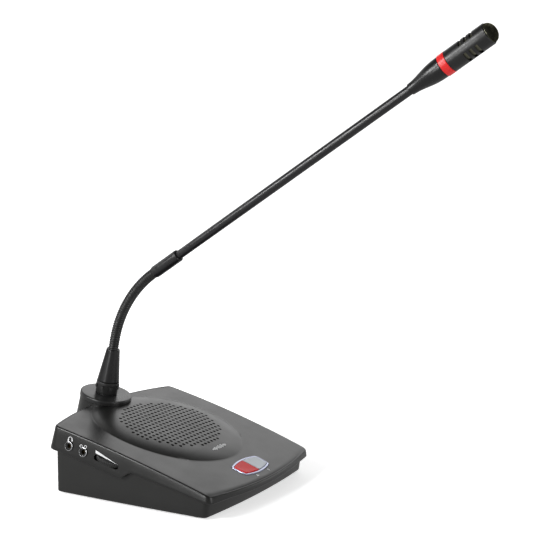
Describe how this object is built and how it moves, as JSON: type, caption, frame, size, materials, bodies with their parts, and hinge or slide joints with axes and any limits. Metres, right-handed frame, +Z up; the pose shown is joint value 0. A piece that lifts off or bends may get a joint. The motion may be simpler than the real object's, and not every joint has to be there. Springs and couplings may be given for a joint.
{
  "type": "gooseneck conference microphone",
  "caption": "Sloping loudspeaker desk base with push keys, a volume wheel and jacks, and a plug-in gooseneck microphone whose neck bends.",
  "frame": {"origin": "on the desk plane, under the middle of the base", "axes": "+Z up, +X to the user's right, +Y away from the user towards the microphone socket"},
  "size_m": [0.1758, 0.3825, 0.3841],
  "materials": {
    "cover_grey": "fine matt texture",
    "case_black": "matt",
    "satin_black": "satin",
    "painted_stem": "satin black paint",
    "rubber": "matt",
    "steel": "bare",
    "chrome": "bright plated",
    "brass": "bare",
    "board_green": "circuit board with solder mask",
    "key_red": "satin",
    "key_silver": "satin",
    "bezel_silver": "silver paint",
    "light_red": "frosted, translucent",
    "cone_paper": "pressed paper",
    "felt": "woven",
    "mesh_black": "black wire mesh"
  },
  "bodies": {
    "base": {"top_cover": "cover_grey", "bottom_case": "case_black", "socket_cap": "cover_grey", "ballast_plate": "steel", "main_board": "board_green", "key_board": "board_green", "side_board": "board_green", "headphone_jack": "satin_black", "record_jack": "satin_black", "headphone_jack_nut": "chrome", "record_jack_nut": "chrome", "volume_pot": "satin_black", "key_bezel": "bezel_silver", "priority_switch": "satin_black", "speak_switch": "satin_black", "speaker_frame": "steel", "speaker_cone": "cone_paper", "speaker_magnet": "steel", "speaker_gasket": "rubber", "grille_cloth": "felt", "mic_socket": "steel", "socket_contacts": "satin_black", "link_socket": "satin_black", "link_socket_insert": "brass", "foot_front_left": "rubber", "foot_front_right": "rubber", "foot_rear_left": "rubber", "foot_rear_right": "rubber", "case_screw_front_left": "steel", "case_screw_front_right": "steel", "case_screw_rear_left": "steel", "case_screw_rear_right": "steel"},
    "priority_key": {"priority_key": "key_red"},
    "speak_key": {"speak_key": "key_silver"},
    "volume_wheel": {"volume_wheel": "satin_black"},
    "microphone_plug": {"plug_body": "satin_black", "plug_pins": "brass", "neck_collar": "painted_stem"},
    "locking_ring": {"locking_ring": "satin_black"},
    "neck_1": {"neck_link_1": "painted_stem"},
    "neck_2": {"neck_link_2": "painted_stem"},
    "neck_3": {"neck_link_3": "painted_stem"},
    "neck_4": {"neck_link_4": "painted_stem"},
    "neck_5": {"neck_link_5": "painted_stem"},
    "neck_6": {"neck_link_6": "painted_stem"},
    "stem": {"neck_sleeve": "painted_stem", "stem_tube": "painted_stem", "head_cone": "painted_stem", "light_ring": "light_red", "light_board": "board_green", "capsule_housing": "satin_black", "capsule_grommet": "rubber", "mic_capsule": "steel", "mesh_cap": "mesh_black"}
  },
  "joints": [
    {"name": "priority_key_press", "type": "slide", "parent": "base", "child": "priority_key", "axis": [0, 0.2903, -0.9569], "range_m": [0, 0.0012], "stiffness_N_per_m": 300},
    {"name": "speak_key_press", "type": "slide", "parent": "base", "child": "speak_key", "axis": [0, 0.2903, -0.9569], "range_m": [0, 0.0012], "stiffness_N_per_m": 300},
    {"name": "volume_turn", "type": "hinge", "parent": "base", "child": "volume_wheel", "pos_m": [-0.07208, 0.021, 0.0353], "axis": [0, -0.2258, 0.9742], "range_deg": [-140, 140]},
    {"name": "mic_unplug", "type": "slide", "parent": "base", "child": "microphone_plug", "axis": [0, -0.1994, 0.9799], "range_m": [0, 0.026]},
    {"name": "locking_ring_turn", "type": "hinge", "parent": "microphone_plug", "child": "locking_ring", "pos_m": [0, 0.0854, 0.0674], "axis": [0, -0.1994, 0.9799], "continuous": true},
    {"name": "neck_nod_1", "type": "hinge", "parent": "microphone_plug", "child": "neck_1", "pos_m": [0, 0.07699, 0.10875], "axis": [1, 0, 0], "range_deg": [-11, 9]},
    {"name": "neck_sway_1", "type": "hinge", "parent": "neck_1", "child": "neck_2", "pos_m": [0, 0.07389, 0.12262], "axis": [0, 0.9606, 0.278], "range_deg": [-13.3, 13.3]},
    {"name": "neck_nod_2", "type": "hinge", "parent": "neck_2", "child": "neck_3", "pos_m": [0, 0.0691, 0.13599], "axis": [1, 0, 0], "range_deg": [-11, 9]},
    {"name": "neck_sway_2", "type": "hinge", "parent": "neck_3", "child": "neck_4", "pos_m": [0, 0.06248, 0.14855], "axis": [0, 0.8493, 0.5278], "range_deg": [-13.3, 13.3]},
    {"name": "neck_nod_3", "type": "hinge", "parent": "neck_4", "child": "neck_5", "pos_m": [0, 0.05415, 0.16005], "axis": [1, 0, 0], "range_deg": [-11, 9]},
    {"name": "neck_sway_3", "type": "hinge", "parent": "neck_5", "child": "neck_6", "pos_m": [0, 0.04428, 0.17027], "axis": [0, 0.6684, 0.7438], "range_deg": [-13.3, 13.3]},
    {"name": "neck_nod_4", "type": "hinge", "parent": "neck_6", "child": "stem", "pos_m": [0, 0.03308, 0.17899], "axis": [1, 0, 0], "range_deg": [-11, 9]}
  ],
  "couplings": [
    {"joint": "neck_nod_2", "follows": "neck_nod_1", "ratio": 1},
    {"joint": "neck_nod_3", "follows": "neck_nod_1", "ratio": 1},
    {"joint": "neck_nod_4", "follows": "neck_nod_1", "ratio": 1},
    {"joint": "neck_sway_2", "follows": "neck_sway_1", "ratio": 1},
    {"joint": "neck_sway_3", "follows": "neck_sway_1", "ratio": 1}
  ]
}
